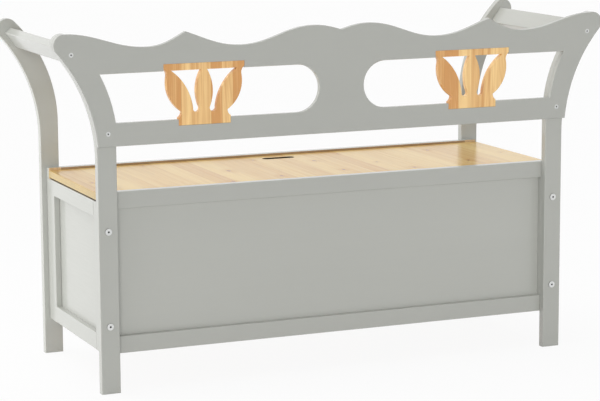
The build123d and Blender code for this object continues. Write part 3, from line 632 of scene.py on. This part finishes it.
def seen_white(tree):
    """One where the camera or a reflection looks at a surface, and zero for the light that it gives."""
    path = tree.nodes.new("ShaderNodeLightPath")
    total = path.outputs["Is Camera Ray"]
    for ray in ("Is Glossy Ray", "Is Transmission Ray"):
        larger = tree.nodes.new("ShaderNodeMath")
        larger.operation = "MAXIMUM"
        tree.links.new(total, larger.inputs[0])
        tree.links.new(path.outputs[ray], larger.inputs[1])
        total = larger.outputs[0]
    return total


def build_floor(look):
    """A wide disc at floor level, on rings whose radius grows by a constant ratio.

    It looks white, and keeps a soft shadow.
    """
    steps = np.arange(FLOOR_RINGS) / (FLOOR_RINGS - 1)
    radius = FLOOR_INNER * (FLOOR_OUTER / FLOOR_INNER) ** steps
    angle = 2 * np.pi * np.arange(FLOOR_TURNS) / FLOOR_TURNS
    points = np.zeros((FLOOR_RINGS, FLOOR_TURNS, 3))
    points[..., 0] = radius[:, None] * np.cos(angle)
    points[..., 1] = radius[:, None] * np.sin(angle)
    ring, turn = np.meshgrid(np.arange(FLOOR_RINGS - 1) * FLOOR_TURNS, np.arange(FLOOR_TURNS), indexing="ij")
    outer = ring + FLOOR_TURNS
    following = (turn + 1) % FLOOR_TURNS
    corners = [ring + turn, outer + turn, outer + following, ring + following]
    quads = np.stack(corners, axis=-1).reshape(-1, 4)
    faces = quads.tolist() + [list(range(FLOOR_TURNS))]
    mesh = bpy.data.meshes.new("studio_floor")
    mesh.from_pydata(points.reshape(-1, 3).tolist(), [], faces)
    floor = bpy.data.objects.new("studio_floor", mesh)
    bpy.context.scene.collection.objects.link(floor)
    finish = Finish("studio_floor")
    cloth = finish.noise(finish.place, FLOOR_PATCHES)
    colour = finish.shaded(rgba(look.floor), finish.fade(cloth, USUAL, FLOOR_TONES))
    matt = finish.node("ShaderNodeBsdfDiffuse", {"Color": colour})
    white = finish.node("ShaderNodeEmission", {"Strength": 1.0})
    share = finish.times(seen_white(finish.tree), FLOOR_WHITE)
    blend = finish.node("ShaderNodeMixShader", {0: share, 1: matt.outputs[0], 2: white.outputs[0]})
    mesh.materials.append(finish.close(blend))


def build_room(scene, look):
    """A white room: full white where it is seen, and a plain fill where it lights the bench."""
    world = bpy.data.worlds.new("white_room")
    scene.world = world
    world.use_nodes = True
    tree = world.node_tree
    tree.nodes.clear()
    fill = tree.nodes.new("ShaderNodeBackground")
    fill.inputs["Strength"].default_value = look.fill
    fill.inputs["Color"].default_value = WHITE
    white = tree.nodes.new("ShaderNodeBackground")
    white.inputs["Color"].default_value = WHITE
    blend = tree.nodes.new("ShaderNodeMixShader")
    output = tree.nodes.new("ShaderNodeOutputWorld")
    tree.links.new(seen_white(tree), blend.inputs[0])
    tree.links.new(fill.outputs[0], blend.inputs[1])
    tree.links.new(white.outputs[0], blend.inputs[2])
    tree.links.new(blend.outputs[0], output.inputs[0])


def hang(name, lamp, source):
    """Adds a lamp that shines from a direction. It leaves no glare, since gloss shows only the room."""
    holder = bpy.data.objects.new(name, lamp)
    holder.rotation_euler = Vector(source).to_track_quat("Z", "Y").to_euler()
    holder.visible_glossy = False
    bpy.context.scene.collection.objects.link(holder)
    return holder


def build_softbox(power):
    """A square softbox that faces the bench's right end. Its light falls off along the bench."""
    lamp = bpy.data.lights.new("softbox", "AREA")
    lamp.energy = power
    lamp.size = SOFTBOX_SIZE
    holder = hang("softbox", lamp, SOFTBOX_FROM)
    holder.location = SOFTBOX_PLACE
    holder.visible_camera = False


def build_lamp(name, strength, source, angle):
    """A soft light from a direction, as wide as an angle."""
    lamp = bpy.data.lights.new(name, "SUN")
    lamp.energy = strength
    lamp.angle = angle
    hang(name, lamp, source)


def build_camera(scene, look):
    """The camera looks along (-sin yaw, -cos yaw), down by the pitch, and is then rolled about that line."""
    forward = Vector((-math.sin(look.yaw) * math.cos(look.pitch), -math.cos(look.yaw) * math.cos(look.pitch),
                      -math.sin(look.pitch)))
    level = Vector((-math.cos(look.yaw), math.sin(look.yaw), 0))
    upright = level.cross(forward)
    right = level * math.cos(look.roll) + upright * math.sin(look.roll)
    up = upright * math.cos(look.roll) - level * math.sin(look.roll)
    data = bpy.data.cameras.new("camera")
    data.sensor_width = SENSOR
    data.lens = look.lens
    data.clip_end = FAR
    camera = bpy.data.objects.new("camera", data)
    turn = Matrix((right, up, -forward)).transposed().to_4x4()
    camera.matrix_world = Matrix.Translation(Vector(look.camera)) @ turn
    scene.collection.objects.link(camera)
    scene.camera = camera


class BENCH_PT_panel(bpy.types.Panel):
    """Lists the bench's finishing steps as buttons"""

    bl_idname = "BENCH_PT_panel"
    bl_label = "Storage bench"
    bl_space_type = "VIEW_3D"
    bl_region_type = "UI"
    bl_category = "Bench"

    def draw(self, context):
        for operator in OPERATORS:
            self.layout.operator(operator.bl_idname)


GROUPS = {"bench_paint": PaintProperties, "bench_pine": PineProperties,
          "bench_hardware": HardwareProperties, "bench_stage": StageProperties}
OPERATORS = (BENCH_OT_paint_posts, BENCH_OT_paint_backrest, BENCH_OT_paint_box, BENCH_OT_finish_lid,
             BENCH_OT_finish_splats, BENCH_OT_finish_inside, BENCH_OT_fit_hardware, BENCH_OT_set_stage)
CLASSES = (*GROUPS.values(), *OPERATORS, BENCH_PT_panel)


def register():
    for made in CLASSES:
        bpy.utils.register_class(made)
    for name, made in GROUPS.items():
        setattr(bpy.types.Scene, name, PointerProperty(type=made))


def unregister():
    for name in GROUPS:
        delattr(bpy.types.Scene, name)
    for made in reversed(CLASSES):
        bpy.utils.unregister_class(made)


def main():
    register()
    bpy.ops.bench.paint_posts()
    bpy.ops.bench.paint_backrest()
    bpy.ops.bench.paint_box()
    bpy.ops.bench.finish_lid()
    bpy.ops.bench.finish_splats()
    bpy.ops.bench.finish_inside()
    bpy.ops.bench.fit_hardware()
    bpy.ops.bench.set_stage()


if __name__ == "__main__":
    main()
